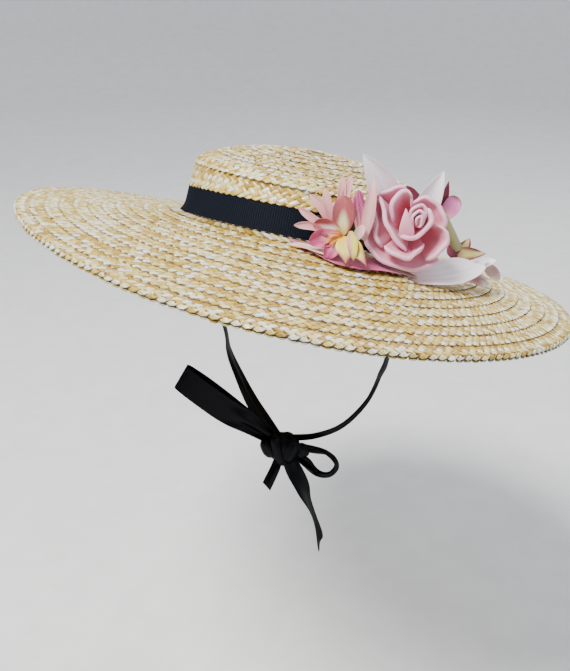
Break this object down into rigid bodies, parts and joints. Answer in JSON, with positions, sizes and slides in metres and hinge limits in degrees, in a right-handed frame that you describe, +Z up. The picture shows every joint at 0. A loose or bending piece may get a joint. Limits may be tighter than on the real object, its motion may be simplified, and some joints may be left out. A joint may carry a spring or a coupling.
{
  "type": "sun hat",
  "caption": "Wide-brimmed plaited-straw sun hat with a low crown, ribbon band, a spray of cloth flowers at the front and ribbon ties in a bow under the chin.",
  "frame": {"origin": "middle of the head opening, on the plane where the crown meets the brim, with the hat held as it is worn in the picture", "axes": "+Z up against gravity, -Y the way the wearer looks, +X towards the side that carries the flowers; the hat itself leans 15.9 degrees back about X and 10.2 degrees down towards +X"},
  "size_m": [0.398, 0.4324, 0.3338],
  "materials": {
    "plaited_straw": "glossy plaited straw, cream to golden",
    "black_grosgrain": "fine upright ribs, matte",
    "black_satin": "satin",
    "green_felt": "matte felt",
    "rose_foam": "soft foam, salmon red in the folds and pale pink at the edges",
    "lily_cloth": "dyed cloth, red-mauve to yellow-green",
    "orchid_cloth": "dyed cloth, plum and magenta",
    "pale_pink_cloth": "dyed cloth, pale pink",
    "dusty_pink_cloth": "dyed cloth, dusty pink to magenta"
  },
  "bodies": {
    "root": {"crown": "plaited_straw", "brim": "plaited_straw", "hat_band": "black_grosgrain", "tie_left": "black_satin", "tie_right": "black_satin", "bow_knot": "black_satin", "bow_loop_left": "black_satin", "bow_loop_right": "black_satin", "bow_tail_short": "black_satin", "bow_tail_long": "black_satin", "spray_backing": "green_felt", "rose": "rose_foam", "aster": "dusty_pink_cloth", "lily": "lily_cloth", "orchid": "orchid_cloth", "leaf_tall": "pale_pink_cloth", "leaf_folded": "pale_pink_cloth", "leaf_lying": "pale_pink_cloth", "leaf_small": "pale_pink_cloth", "leaf_magenta": "dusty_pink_cloth"}
  },
  "joints": []
}
